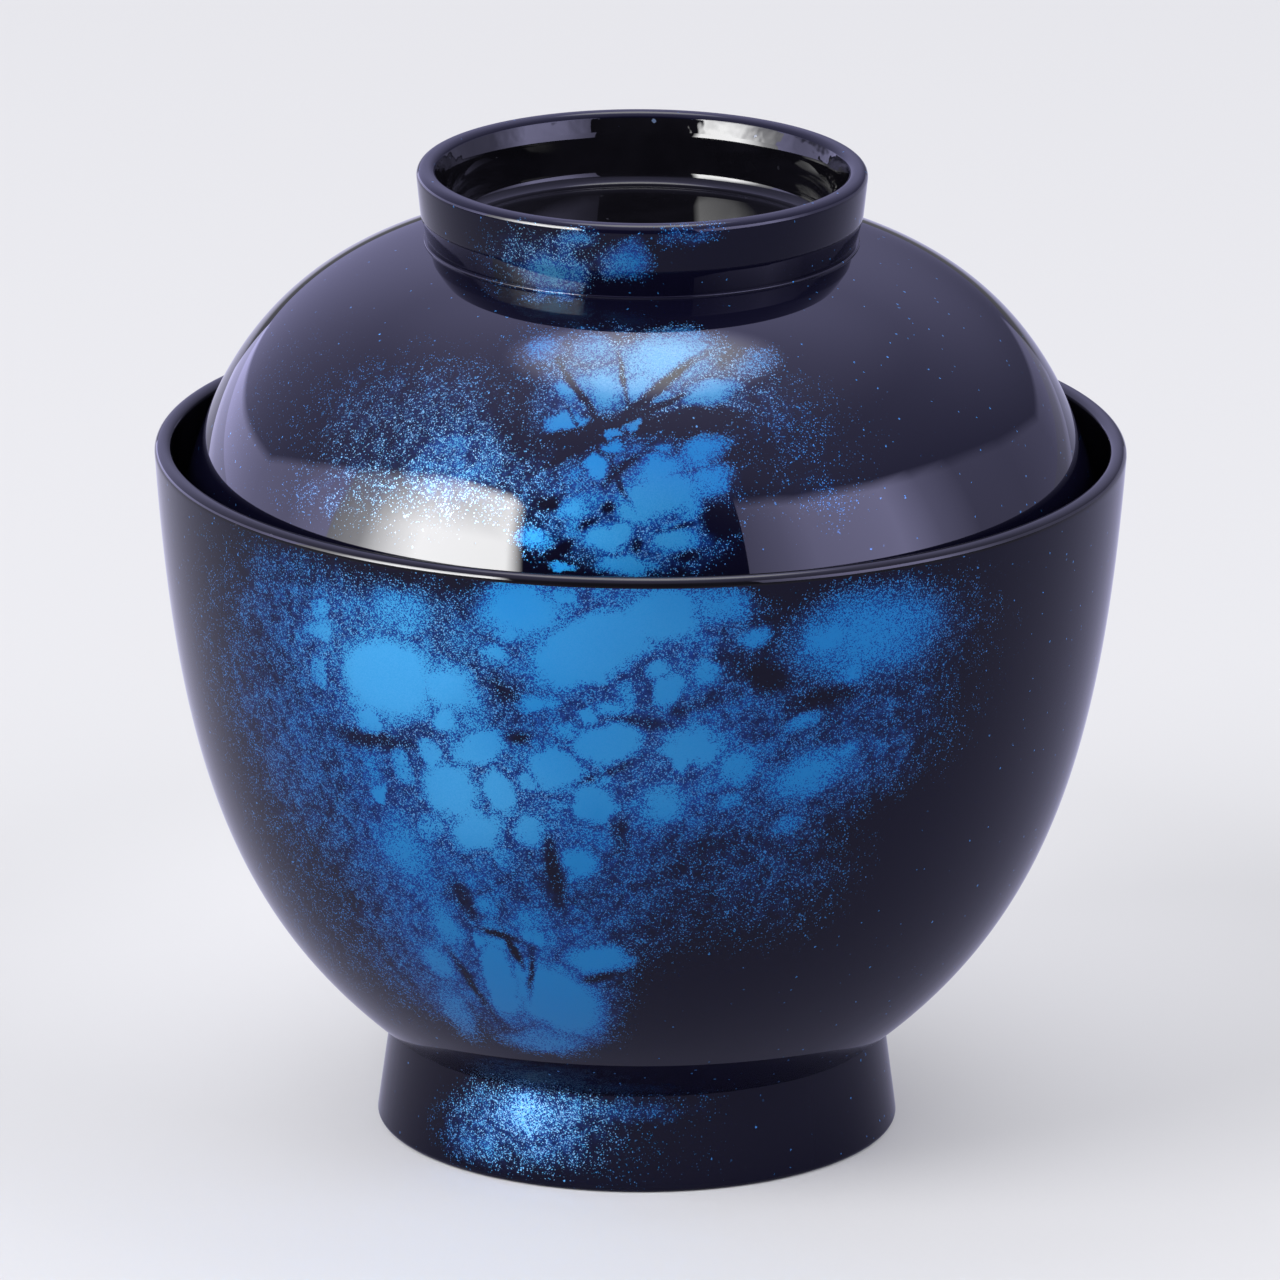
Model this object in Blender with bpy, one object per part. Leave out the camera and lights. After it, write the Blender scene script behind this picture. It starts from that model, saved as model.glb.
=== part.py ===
"""Lidded lacquer soup bowl: a bowl on a foot ring, and a loose domed lid with a ring knob.

Lengths are in metres and +Z is up. Both pieces are bodies of revolution about the Z axis, and the
foot ring stands on z = 0. The lid is drawn seated in the bowl, with a small gap to the bowl's wall.
A profile is a list of stations (radius, height) or (radius, height, rounding). It starts and ends
on the axis and runs down its outer side, so that the turned surface faces outwards.
"""

import math

import bpy

MM = 0.001
SEGMENTS = 72
CORNER_STEPS = 3
OUTER_STEPS = 12
INNER_STEPS = 9

# Rim and wall of the bowl
RIM_RADIUS = 50.36 * MM
RIM_HEIGHT = 73.0 * MM
WALL = 1.85 * MM
LIP_ROUND = 0.9 * MM

# Outer curve of the bowl: lean from straight down in degrees, and reach of the curve's two handles
OUTER_RIM_LEAN = 3.8
OUTER_RIM_REACH = 32.6 * MM
OUTER_FOOT_LEAN = 51.7
OUTER_FOOT_REACH = 21.7 * MM

# Inner curve of the bowl, which ends on a flat round floor
FLOOR_RADIUS = 12.0 * MM
FLOOR_HEIGHT = 10.6 * MM
INNER_RIM_LEAN = 3.3
INNER_RIM_REACH = 29.6 * MM
INNER_FLOOR_REACH = 26.4 * MM

# Foot ring: a cone that widens downwards, with a hollow under the bowl
FOOT_TOP_RADIUS = 25.8 * MM
FOOT_TOP_HEIGHT = 10.05 * MM
FOOT_RADIUS = 27.15 * MM
FOOT_WIDTH = 3.2 * MM
FOOT_EDGE_ROUND = 0.5 * MM
RECESS_TOP_RADIUS = 23.2 * MM
RECESS_HEIGHT = 7.2 * MM
RECESS_ROUND = 1.2 * MM

# Dome of the lid, from the foot of the knob to the edge that sits inside the bowl
DOME_TOP_RADIUS = 22.5 * MM
DOME_TOP_HEIGHT = 94.45 * MM
DOME_TOP_LEAN = -75.6
DOME_TOP_REACH = 13.6 * MM
EDGE_RADIUS = 47.6 * MM
EDGE_HEIGHT = 66.2 * MM
DOME_EDGE_LEAN = -11.4
DOME_EDGE_REACH = 16.6 * MM
EDGE_THICKNESS = 1.7 * MM
EDGE_STEPS = 4

# Underside of the lid, which starts as a flat round ceiling
CEILING_RADIUS = 12.0 * MM
CEILING_HEIGHT = 92.5 * MM
CEILING_REACH = 3.5 * MM
UNDER_EDGE_LEAN = -13.75
UNDER_EDGE_REACH = 29.0 * MM

# Ring knob: a short upright wall that flares a little towards its rounded top and is dished inside
KNOB_HEIGHT = 102.4 * MM
KNOB_RADIUS = 23.36 * MM
KNOB_WALL = 1.87 * MM
KNOB_ROUND = 0.9 * MM
KNOB_WAIST_RADIUS = 22.85 * MM
KNOB_WAIST_HEIGHT = 97.5 * MM
KNOB_NECK_RADIUS = 22.15 * MM
KNOB_NECK_HEIGHT = 94.8 * MM
KNOB_NECK_ROUND = 4.0 * MM
KNOB_SHOULDER_RADIUS = 20.3 * MM
KNOB_SHOULDER_HEIGHT = 98.9 * MM
KNOB_SHOULDER_ROUND = 9.0 * MM
KNOB_FLOOR_RADIUS = 19.9 * MM
KNOB_FLOOR_HEIGHT = 94.2 * MM
KNOB_FLOOR_ROUND = 1.6 * MM

# Bead where the knob meets the dome
BEAD_HEIGHT = 94.75 * MM
BEAD_ROUND = 0.16 * MM


def heading(lean):
    """Unit step that leans from straight down towards the axis by this many degrees."""
    angle = math.radians(lean)
    return -math.sin(angle), -math.cos(angle)


def curve(start, leave, end, arrive, steps):
    """Stations of a smooth curve. Leave and arrive each give a lean in degrees and a handle's reach."""
    leave_step = heading(leave[0])
    arrive_step = heading(arrive[0])
    first_handle = [start[axis] + leave[1] * leave_step[axis] for axis in range(2)]
    last_handle = [end[axis] - arrive[1] * arrive_step[axis] for axis in range(2)]
    corners = (start, first_handle, last_handle, end)
    stations = []
    for step in range(steps + 1):
        t = step / steps
        weights = ((1 - t) ** 3, 3 * (1 - t) ** 2 * t, 3 * (1 - t) * t**2, t**3)
        radius = sum(weight * corner[0] for weight, corner in zip(weights, corners))
        height = sum(weight * corner[1] for weight, corner in zip(weights, corners))
        stations.append((radius, height))
    return stations


def half_round(first, last, steps):
    """Stations strictly between two points, along the lower half of the circle that joins them."""
    centre = ((first[0] + last[0]) / 2, (first[1] + last[1]) / 2)
    radius = math.dist(first, last) / 2
    start = math.atan2(first[1] - centre[1], first[0] - centre[0])
    stations = []
    for step in range(1, steps):
        angle = start - math.pi * step / steps
        stations.append((centre[0] + radius * math.cos(angle), centre[1] + radius * math.sin(angle)))
    return stations


def unit_towards(point, other):
    """Unit vector from one point of the profile to another."""
    length = math.dist(point, other)
    return (other[0] - point[0]) / length, (other[1] - point[1]) / length


def rounded(stations):
    """The profile with every station that states a rounding replaced by a tangent arc."""
    points = [station[:2] for station in stations]
    outline = []
    for index, station in enumerate(stations):
        if len(station) < 3:
            outline.append(station)
            continue
        corner = points[index]
        back = unit_towards(corner, points[index - 1])
        ahead = unit_towards(corner, points[index + 1])
        half_angle = math.acos(back[0] * ahead[0] + back[1] * ahead[1]) / 2
        middle = unit_towards((0, 0), (back[0] + ahead[0], back[1] + ahead[1]))
        depth = station[2] / math.sin(half_angle)
        centre = (corner[0] + depth * middle[0], corner[1] + depth * middle[1])
        tangent = station[2] / math.tan(half_angle)
        first = (corner[0] + tangent * back[0], corner[1] + tangent * back[1])
        start = math.atan2(first[1] - centre[1], first[0] - centre[0])
        turn = math.pi - 2 * half_angle
        if back[0] * ahead[1] - back[1] * ahead[0] < 0:
            turn = -turn
        for step in range(CORNER_STEPS + 1):
            angle = start - turn * step / CORNER_STEPS
            x = centre[0] + station[2] * math.cos(angle)
            z = centre[1] + station[2] * math.sin(angle)
            outline.append((x, z))
    return outline


def bowl_profile():
    """Half section of the bowl: floor, inner wall, lip, outer wall, foot ring and recess."""
    lip_inside = (RIM_RADIUS - WALL, RIM_HEIGHT)
    lip_outside = (RIM_RADIUS, RIM_HEIGHT)
    floor_edge = (FLOOR_RADIUS, FLOOR_HEIGHT)
    foot_top = (FOOT_TOP_RADIUS, FOOT_TOP_HEIGHT)
    inner = curve(
        lip_inside,
        (INNER_RIM_LEAN, INNER_RIM_REACH),
        floor_edge,
        (90, INNER_FLOOR_REACH),
        INNER_STEPS,
    )
    outer = curve(
        lip_outside,
        (OUTER_RIM_LEAN, OUTER_RIM_REACH),
        foot_top,
        (OUTER_FOOT_LEAN, OUTER_FOOT_REACH),
        OUTER_STEPS,
    )
    stations = [(0, FLOOR_HEIGHT)]
    stations += reversed(inner[1:])
    stations.append((*lip_inside, LIP_ROUND))
    stations.append((*lip_outside, LIP_ROUND))
    stations += outer[1:]
    stations.append((FOOT_RADIUS, 0, FOOT_EDGE_ROUND))
    stations.append((FOOT_RADIUS - FOOT_WIDTH, 0, FOOT_EDGE_ROUND))
    stations.append((RECESS_TOP_RADIUS, RECESS_HEIGHT, RECESS_ROUND))
    stations.append((0, RECESS_HEIGHT))
    return rounded(stations)


def lid_profile():
    """Half section of the lid: recess and wall of the ring knob, bead, dome, edge and underside."""
    dome_top = (DOME_TOP_RADIUS, DOME_TOP_HEIGHT)
    edge_outside = (EDGE_RADIUS, EDGE_HEIGHT)
    edge_inside = (EDGE_RADIUS - EDGE_THICKNESS, EDGE_HEIGHT)
    ceiling_edge = (CEILING_RADIUS, CEILING_HEIGHT)
    dome = curve(
        dome_top,
        (DOME_TOP_LEAN, DOME_TOP_REACH),
        edge_outside,
        (DOME_EDGE_LEAN, DOME_EDGE_REACH),
        OUTER_STEPS,
    )
    underside = curve(
        ceiling_edge,
        (-90, CEILING_REACH),
        edge_inside,
        (UNDER_EDGE_LEAN, UNDER_EDGE_REACH),
        INNER_STEPS,
    )
    knob_inside = KNOB_RADIUS - KNOB_WALL
    stations = [(0, KNOB_FLOOR_HEIGHT)]
    stations.append((KNOB_FLOOR_RADIUS, KNOB_FLOOR_HEIGHT, KNOB_FLOOR_ROUND))
    stations.append((KNOB_SHOULDER_RADIUS, KNOB_SHOULDER_HEIGHT, KNOB_SHOULDER_ROUND))
    stations.append((knob_inside, KNOB_HEIGHT, KNOB_ROUND))
    stations.append((KNOB_RADIUS, KNOB_HEIGHT, KNOB_ROUND))
    stations.append((KNOB_WAIST_RADIUS, KNOB_WAIST_HEIGHT, KNOB_NECK_ROUND))
    stations.append((KNOB_NECK_RADIUS, KNOB_NECK_HEIGHT))
    stations.append((DOME_TOP_RADIUS, BEAD_HEIGHT, BEAD_ROUND))
    stations += dome
    stations += half_round(edge_outside, edge_inside, EDGE_STEPS)
    stations += reversed(underside)
    stations.append((0, CEILING_HEIGHT))
    return rounded(stations)


def lacquer(name, colour, roughness):
    """A glossy, non-metallic coat of one colour."""
    material = bpy.data.materials.new(name)
    material.use_nodes = True
    shader = material.node_tree.nodes["Principled BSDF"]
    shader.inputs["Base Color"].default_value = (*colour, 1)
    shader.inputs["Roughness"].default_value = roughness
    shader.inputs["Metallic"].default_value = 0
    shader.inputs["Coat Weight"].default_value = 1
    return material


def turned(name, profile, material):
    """One closed body made by turning a profile all the way round the Z axis."""
    mesh = bpy.data.meshes.new(name)
    points = [(radius, 0, height) for radius, height in profile]
    edges = [(index, index + 1) for index in range(len(points) - 1)]
    mesh.from_pydata(points, edges, [])
    mesh.materials.append(material)
    piece = bpy.data.objects.new(name, mesh)
    bpy.context.scene.collection.objects.link(piece)
    turn = piece.modifiers.new("turn", "SCREW")
    turn.axis = "Z"
    turn.angle = 2 * math.pi
    turn.screw_offset = 0
    turn.steps = SEGMENTS
    turn.render_steps = SEGMENTS
    turn.use_merge_vertices = True
    turn.merge_threshold = 0.00001
    turn.use_smooth_shade = True
    bpy.context.view_layer.update()
    evaluated = piece.evaluated_get(bpy.context.evaluated_depsgraph_get())
    solid = bpy.data.meshes.new_from_object(evaluated)
    piece.modifiers.remove(turn)
    piece.data = solid
    bpy.data.meshes.remove(mesh)
    solid.name = name
    solid.set_sharp_from_angle(angle=math.radians(32))
    return piece


for leftover in list(bpy.data.objects):
    bpy.data.objects.remove(leftover)

turned("bowl", bowl_profile(), lacquer("bowl_lacquer", (0.012, 0.022, 0.075), 0.12))
turned("lid", lid_profile(), lacquer("lid_lacquer", (0.012, 0.018, 0.06), 0.12))
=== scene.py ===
"""Looks of a small lidded soup bowl in mottled blue lacquer.

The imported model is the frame. The bowl and the lid are turned again here, from the sections that the
solids have and in finer steps, and dressed in lacquer: a violet-black ground, blue metal powder that
was sprayed through a mask, and plain black inside. Sections and patterns are in millimetres, and
whatever goes to Blender is in metres. The strongest mottling faces -Y.
"""

import logging
import math
from dataclasses import dataclass
from enum import Enum
from typing import Any, Mapping, Sequence, Union

import bpy
from mathutils import Matrix, Vector


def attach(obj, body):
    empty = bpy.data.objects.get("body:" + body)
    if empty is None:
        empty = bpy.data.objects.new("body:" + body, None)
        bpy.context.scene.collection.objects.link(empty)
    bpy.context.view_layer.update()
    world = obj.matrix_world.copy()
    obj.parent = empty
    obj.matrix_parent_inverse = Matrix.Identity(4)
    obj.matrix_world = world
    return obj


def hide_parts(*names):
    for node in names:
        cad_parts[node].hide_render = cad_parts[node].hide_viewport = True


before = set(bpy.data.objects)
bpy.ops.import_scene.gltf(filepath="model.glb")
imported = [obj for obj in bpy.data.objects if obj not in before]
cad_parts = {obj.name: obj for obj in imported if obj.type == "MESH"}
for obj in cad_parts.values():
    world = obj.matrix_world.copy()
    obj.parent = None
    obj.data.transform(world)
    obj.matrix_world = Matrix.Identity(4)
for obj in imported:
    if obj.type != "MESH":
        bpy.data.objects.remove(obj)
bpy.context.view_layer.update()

MM = 0.001
AROUND = 288
CORNER_STEPS = 8
CURVE_STEPS = 72
SHARP_ANGLE = 35.0
# Noise mostly stays within a quarter of its middle.
NOISE_GAIN = 4.0

Socket = bpy.types.NodeSocket
Number = Union[float, bpy.types.NodeSocket]
Colour = tuple[float, float, float]
Point = tuple[float, float]
# A Pair mostly says where a smooth step begins and ends. A Step adds the levels before and after it.
Pair = tuple[float, float]
Step = tuple[float, float, float, float]

log = logging.getLogger("lacquer_bowl")


def add_object(name: str, data: bpy.types.ID) -> bpy.types.Object:
    """Puts a mesh, light or camera into the scene.

    Args:
        name: Name of the new object.
        data: What the object shows.

    Returns:
        The new object.
    """
    added = bpy.data.objects.new(name, data)
    bpy.context.scene.collection.objects.link(added)
    return added


class Zone(Enum):
    """Finish of a stretch of a section; the value is the piece's material slot."""

    MOTTLED = 0
    PLAIN = 1
    HOLLOW = 2


@dataclass(frozen=True)
class Station:
    """A point of a half section; the stretch that starts here has the zone's finish."""

    radius: float
    height: float
    rounding: float = 0.0
    zone: Zone = Zone.MOTTLED

    @property
    def point(self) -> Point:
        """Radius and height."""
        return self.radius, self.height


@dataclass(frozen=True)
class Handle:
    """How a curve leaves or arrives: degrees from straight down towards the axis, and reach."""

    lean: float
    reach: float

    def step(self) -> Point:
        """The reach as a step in radius and height."""
        angle = math.radians(self.lean)
        return -self.reach * math.sin(angle), -self.reach * math.cos(angle)


def curve(start: Point, leave: Handle, end: Point, arrive: Handle) -> list[Point]:
    """Points of a smooth curve between two points of a section.

    Args:
        start: Where the curve begins.
        leave: How it leaves the start.
        end: Where it ends.
        arrive: How it arrives at the end.

    Returns:
        The points in order, with both ends.
    """
    out, back = leave.step(), arrive.step()
    corners = (
        start,
        (start[0] + out[0], start[1] + out[1]),
        (end[0] - back[0], end[1] - back[1]),
        end,
    )
    points = []
    for step in range(CURVE_STEPS + 1):
        t = step / CURVE_STEPS
        weights = ((1 - t) ** 3, 3 * (1 - t) ** 2 * t, 3 * (1 - t) * t**2, t**3)
        radius = sum(weight * corner[0] for weight, corner in zip(weights, corners))
        height = sum(weight * corner[1] for weight, corner in zip(weights, corners))
        points.append((radius, height))
    return points


def half_round(first: Point, last: Point) -> list[Point]:
    """Points strictly between two points, along the lower half of the circle that joins them.

    Args:
        first: Where the half circle begins.
        last: Where it ends.

    Returns:
        The points in order.
    """
    centre = ((first[0] + last[0]) / 2, (first[1] + last[1]) / 2)
    radius = math.dist(first, last) / 2
    start = math.atan2(first[1] - centre[1], first[0] - centre[0])
    angles = [start - math.pi * step / (2 * CORNER_STEPS) for step in range(1, 2 * CORNER_STEPS)]
    return [(centre[0] + radius * math.cos(a), centre[1] + radius * math.sin(a)) for a in angles]


def towards(point: Point, other: Point) -> Point:
    """Unit vector from one point of a section to another."""
    length = math.dist(point, other)
    return (other[0] - point[0]) / length, (other[1] - point[1]) / length


def rounded(stations: Sequence[Station]) -> list[Station]:
    """The section with every station that has a rounding replaced by a tangent arc.

    Args:
        stations: The section's stations in order.

    Returns:
        Stations without roundings.
    """
    outline: list[Station] = []
    for index, station in enumerate(stations):
        if not station.rounding:
            outline.append(station)
            continue
        corner, radius = station.point, station.rounding
        back = towards(corner, stations[index - 1].point)
        ahead = towards(corner, stations[index + 1].point)
        half_angle = math.acos(back[0] * ahead[0] + back[1] * ahead[1]) / 2
        middle = towards((0.0, 0.0), (back[0] + ahead[0], back[1] + ahead[1]))
        depth = radius / math.sin(half_angle)
        centre = (corner[0] + depth * middle[0], corner[1] + depth * middle[1])
        tangent = radius / math.tan(half_angle)
        first = (corner[0] + tangent * back[0], corner[1] + tangent * back[1])
        start = math.atan2(first[1] - centre[1], first[0] - centre[0])
        turn = math.pi - 2 * half_angle
        if back[0] * ahead[1] - back[1] * ahead[0] < 0:
            turn = -turn
        for step in range(CORNER_STEPS + 1):
            angle = start - turn * step / CORNER_STEPS
            place = (centre[0] + radius * math.cos(angle), centre[1] + radius * math.sin(angle))
            ends = step == CORNER_STEPS
            outline.append(Station(*place, zone=stations[index + 1].zone if ends else station.zone))
    return outline


@dataclass(frozen=True)
class Burst:
    """One burst of the spray gun, one stroke of the mask, or one patch of painted highlight, as an
    ellipse that lies on the outside.

    The turn is in degrees from the front and the tilt in degrees from level. The solid share of the
    ellipse has the full strength, which fades from there to the edge.
    """

    turn: float
    height: float
    width: float
    length: float
    tilt: float
    strength: float
    solid: float


def ellipse_table(*rows: Sequence[float]) -> tuple[Burst, ...]:
    """A table of bursts; each row holds a burst's values in their order."""
    return tuple(Burst(*row) for row in rows)


@dataclass
class TurnedPiece:
    """A body of revolution about the Z axis, and what it stands for in the frame."""

    name: str
    node: str

    def section(self) -> list[Station]:
        """Half section of the piece, from the axis down its outer side and back to the axis."""
        raise NotImplementedError

    def outline(self) -> list[Station]:
        """The section with its corners rounded."""
        return rounded(self.section())

    def build(self) -> bpy.types.Object:
        """Turns the section all the way round.

        Returns:
            The piece, in metres, with one material slot for each zone.
        """
        outline = self.outline()
        rings = outline[1:-1]
        spokes = [2 * math.pi * step / AROUND for step in range(AROUND)]
        points = [Vector((0, 0, outline[0].height * MM)), Vector((0, 0, outline[-1].height * MM))]
        for ring in rings:
            radius = ring.radius * MM
            points += [
                Vector((radius * math.cos(a), radius * math.sin(a), ring.height * MM)) for a in spokes
            ]
        faces: list[tuple[int, ...]] = []
        zones: list[int] = []
        last = 2 + (len(rings) - 1) * AROUND
        for step in range(AROUND):
            after = (step + 1) % AROUND
            faces.append((0, 2 + step, 2 + after))
            zones.append(outline[0].zone.value)
            for index in range(len(rings) - 1):
                inner, outer = 2 + index * AROUND, 2 + (index + 1) * AROUND
                faces.append((inner + step, outer + step, outer + after, inner + after))
                zones.append(rings[index].zone.value)
            faces.append((1, last + after, last + step))
            zones.append(rings[-1].zone.value)
        mesh = bpy.data.meshes.new(self.name)
        mesh.from_pydata(points, [], faces)
        for _ in Zone:
            mesh.materials.append(None)
        mesh.polygons.foreach_set("material_index", zones)
        mesh.polygons.foreach_set("use_smooth", [True] * len(faces))
        mesh.set_sharp_from_angle(angle=math.radians(SHARP_ANGLE))
        mesh.update()
        return add_object(self.name, mesh)

    def dress(self, piece: bpy.types.Object, finishes: Mapping[Zone, bpy.types.Material]) -> None:
        """Gives each zone of the piece that build() made its finish."""
        for zone, material in finishes.items():
            piece.data.materials[zone.value] = material

    def seat(self, turn: float, height: float) -> Matrix:
        """Where a burst sits: its middle in millimetres, its axes round, up and out of the surface.

        Args:
            turn: Degrees about the axis from the front, positive towards +X.
            height: Height on the outside.

        Returns:
            A matrix whose columns are the three axes and the middle.
        """
        outline = self.outline()
        best = (0.0, 0.0, 1.0)
        for first, second in zip(outline, outline[1:]):
            low, high = sorted((first.height, second.height))
            if low <= height <= high and high > low:
                share = (height - first.height) / (second.height - first.height)
                radius = first.radius + share * (second.radius - first.radius)
                if radius > best[0]:
                    length = math.dist(first.point, second.point)
                    rise = (first.height - second.height) / length
                    best = (radius, (first.radius - second.radius) / length, rise)
        radius, inward, rise = best
        angle = math.radians(turn)
        outward = Vector((math.sin(angle), -math.cos(angle), 0))
        across = Vector((math.cos(angle), math.sin(angle), 0))
        up = outward * inward + Vector((0, 0, rise))
        matrix = Matrix((across, up, across.cross(up))).transposed().to_4x4()
        matrix.translation = outward * radius + Vector((0, 0, height))
        return matrix


@dataclass
class Bowl(TurnedPiece):
    """The bowl: a thin wall with a rounded lip, on a foot ring that is hollow underneath."""

    name: str = "bowl_shell"
    node: str = "bowl"
    rim_radius: float = 50.34
    rim_height: float = 73.0
    wall: float = 1.85
    lip_round: float = 0.9
    outer_leave: Handle = Handle(3.8, 32.6)
    outer_arrive: Handle = Handle(51.7, 21.7)
    floor_radius: float = 12.0
    floor_height: float = 10.6
    inner_leave: Handle = Handle(3.3, 29.6)
    inner_arrive: Handle = Handle(90.0, 26.4)
    foot_top_radius: float = 25.8
    foot_top_height: float = 10.05
    foot_radius: float = 27.15
    foot_width: float = 3.2
    foot_edge_round: float = 0.5
    recess_top_radius: float = 23.2
    recess_height: float = 7.2
    recess_round: float = 1.2

    def section(self) -> list[Station]:
        """Floor, inner wall, lip, outer wall, foot ring and the hollow under it."""
        plain = Zone.PLAIN
        lip_inside = (self.rim_radius - self.wall, self.rim_height)
        lip_outside = (self.rim_radius, self.rim_height)
        floor_edge = (self.floor_radius, self.floor_height)
        foot_top = (self.foot_top_radius, self.foot_top_height)
        inner = curve(lip_inside, self.inner_leave, floor_edge, self.inner_arrive)
        outer = curve(lip_outside, self.outer_leave, foot_top, self.outer_arrive)
        foot_inside = self.foot_radius - self.foot_width
        return [
            Station(0, self.floor_height, zone=plain),
            *(Station(*point, zone=plain) for point in reversed(inner[1:])),
            Station(*lip_inside, self.lip_round, plain),
            Station(*lip_outside, self.lip_round, plain),
            *(Station(*point) for point in outer[1:]),
            Station(self.foot_radius, 0, self.foot_edge_round),
            Station(foot_inside, 0, self.foot_edge_round, plain),
            Station(self.recess_top_radius, self.recess_height, self.recess_round, plain),
            Station(0, self.recess_height, zone=plain),
        ]


@dataclass
class Lid(TurnedPiece):
    """The lid: a dome whose edge sits inside the bowl, with a ring knob and a bead at its foot."""

    name: str = "lid_shell"
    node: str = "lid"
    dome_top_radius: float = 22.5
    dome_top_height: float = 94.45
    dome_leave: Handle = Handle(-75.6, 13.6)
    edge_radius: float = 47.6
    edge_height: float = 66.2
    dome_arrive: Handle = Handle(-11.4, 16.6)
    edge_thickness: float = 1.7
    ceiling_radius: float = 12.0
    ceiling_height: float = 92.5
    under_leave: Handle = Handle(-90.0, 3.5)
    under_arrive: Handle = Handle(-13.75, 29.0)
    knob_height: float = 102.4
    knob_radius: float = 23.36
    knob_wall: float = 1.87
    knob_round: float = 0.9
    waist_radius: float = 22.85
    waist_height: float = 97.5
    waist_round: float = 4.0
    neck_radius: float = 22.15
    neck_height: float = 94.8
    shoulder_radius: float = 20.65
    shoulder_height: float = 100.1
    shoulder_round: float = 3.0
    knob_floor_radius: float = 20.2
    knob_floor_height: float = 94.95
    knob_floor_round: float = 1.6
    bead_height: float = 94.75
    bead_round: float = 0.16

    def section(self) -> list[Station]:
        """Recess and wall of the ring knob, bead, dome, edge and underside."""
        plain, hollow = Zone.PLAIN, Zone.HOLLOW
        dome_top = (self.dome_top_radius, self.dome_top_height)
        edge_outside = (self.edge_radius, self.edge_height)
        edge_inside = (self.edge_radius - self.edge_thickness, self.edge_height)
        ceiling_edge = (self.ceiling_radius, self.ceiling_height)
        dome = curve(dome_top, self.dome_leave, edge_outside, self.dome_arrive)
        under = curve(ceiling_edge, self.under_leave, edge_inside, self.under_arrive)
        inside = self.knob_radius - self.knob_wall
        shoulder = (self.shoulder_radius, self.shoulder_height)
        flare = towards(shoulder, (inside, self.knob_height))
        return [
            Station(0, self.knob_floor_height, zone=plain),
            Station(self.knob_floor_radius, self.knob_floor_height, self.knob_floor_round, plain),
            Station(*shoulder, self.shoulder_round, plain),
            Station(shoulder[0] + flare[0], shoulder[1] + flare[1], zone=hollow),
            Station(inside, self.knob_height, self.knob_round),
            Station(self.knob_radius, self.knob_height, self.knob_round),
            Station(self.waist_radius, self.waist_height, self.waist_round),
            Station(self.neck_radius, self.neck_height),
            Station(self.dome_top_radius, self.bead_height, self.bead_round),
            *(Station(*point) for point in dome[:-1]),
            Station(*edge_outside, zone=plain),
            *(Station(*point, zone=plain) for point in half_round(edge_outside, edge_inside)),
            *(Station(*point, zone=plain) for point in reversed(under)),
            Station(0, self.ceiling_height, zone=plain),
        ]


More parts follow.
